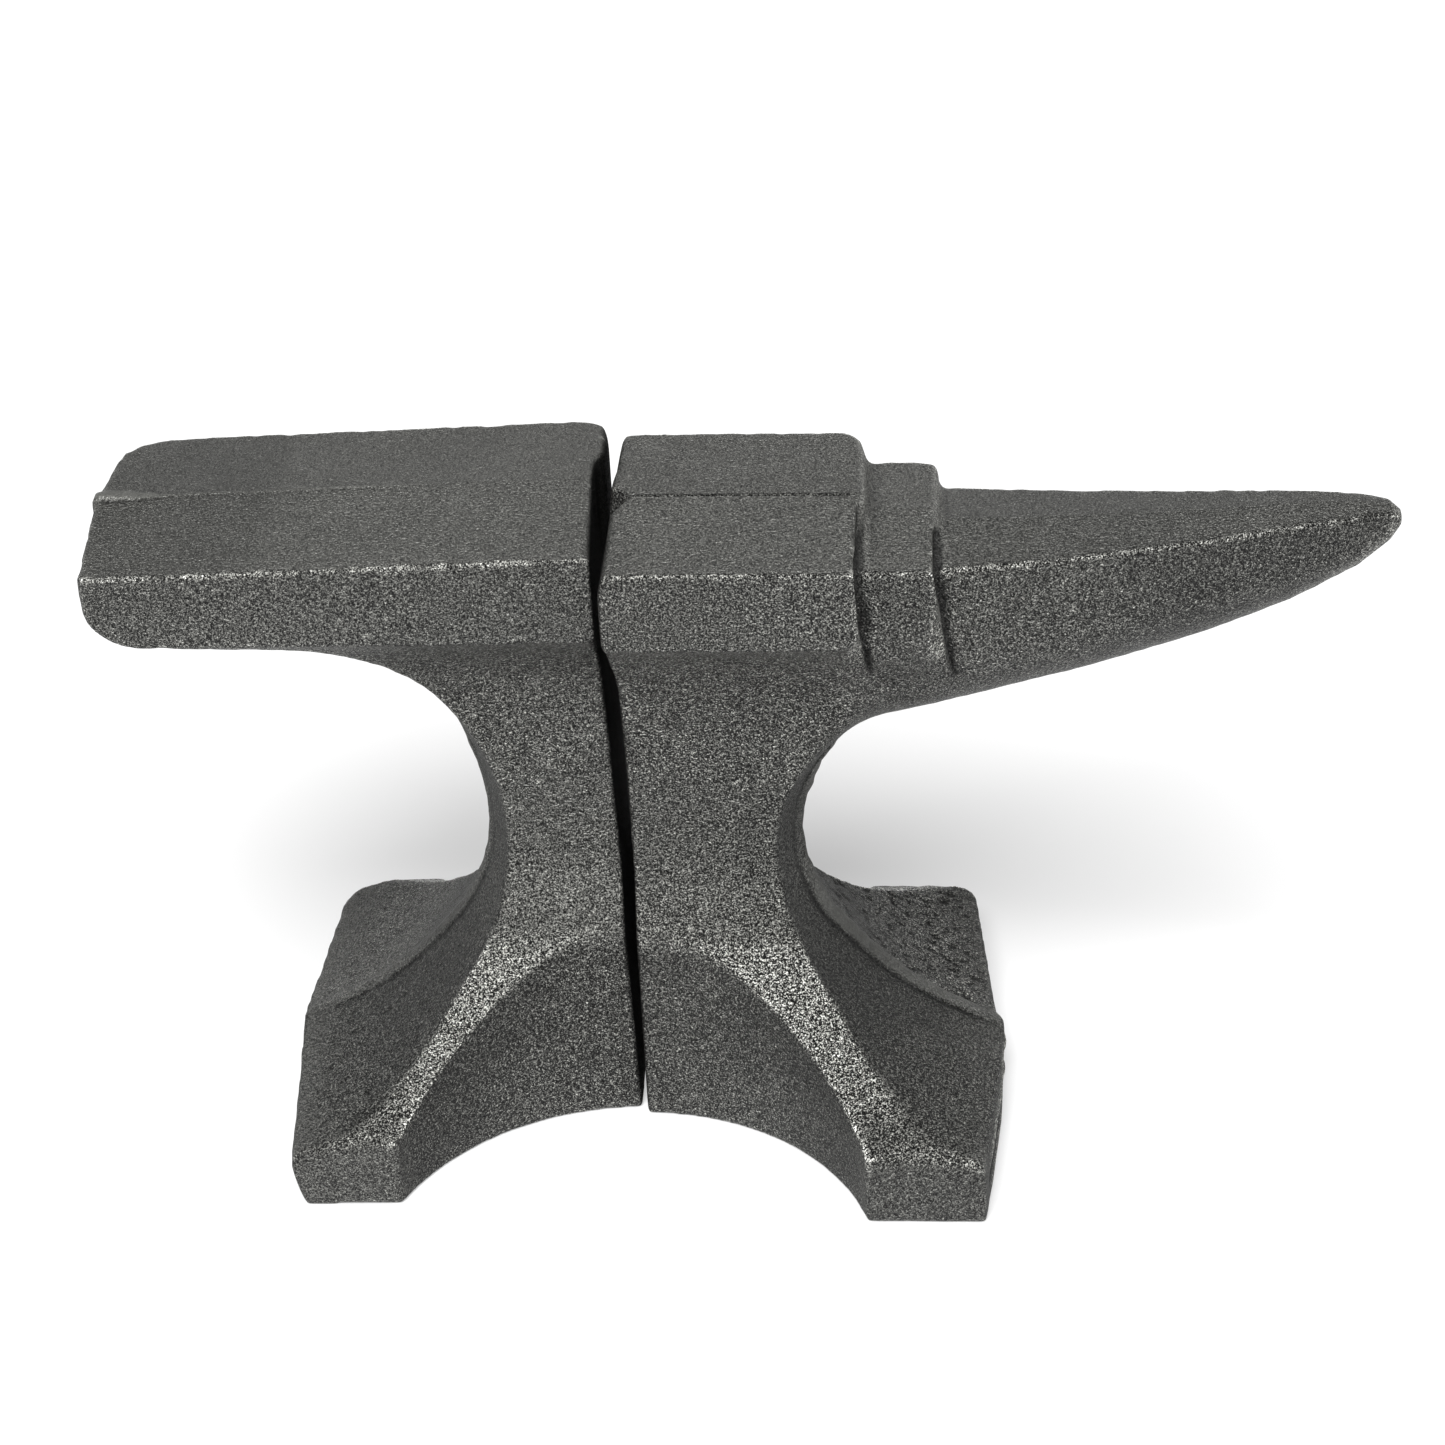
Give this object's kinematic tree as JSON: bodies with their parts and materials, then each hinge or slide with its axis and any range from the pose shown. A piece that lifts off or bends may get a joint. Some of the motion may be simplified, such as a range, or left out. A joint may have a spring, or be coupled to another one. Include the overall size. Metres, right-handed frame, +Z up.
{
  "type": "split anvil bookends",
  "caption": "Pair of solid cast-iron castings shaped as an anvil cut across its waist, a horn half and a heel half that face each other across a narrow gap.",
  "frame": {"origin": "on the floor, under the middle of the pair's bounding box, with the two halves closed up", "axes": "+X along the anvil towards the tip of the horn, +Y across it, +Z up"},
  "size_m": [0.3249, 0.1262, 0.1839],
  "materials": {
    "horn_half_iron": "raw as cast, sand texture, thin oiled film",
    "heel_half_iron": "raw as cast, sand texture, thin oiled film"
  },
  "bodies": {
    "horn_half": {"horn_half": "horn_half_iron"},
    "heel_half": {"heel_half": "heel_half_iron"}
  },
  "joints": [
    {"name": "heel_slide", "type": "slide", "parent": "horn_half", "child": "heel_half", "axis": [-1, 0, 0], "range_m": [0, 0.3]}
  ]
}
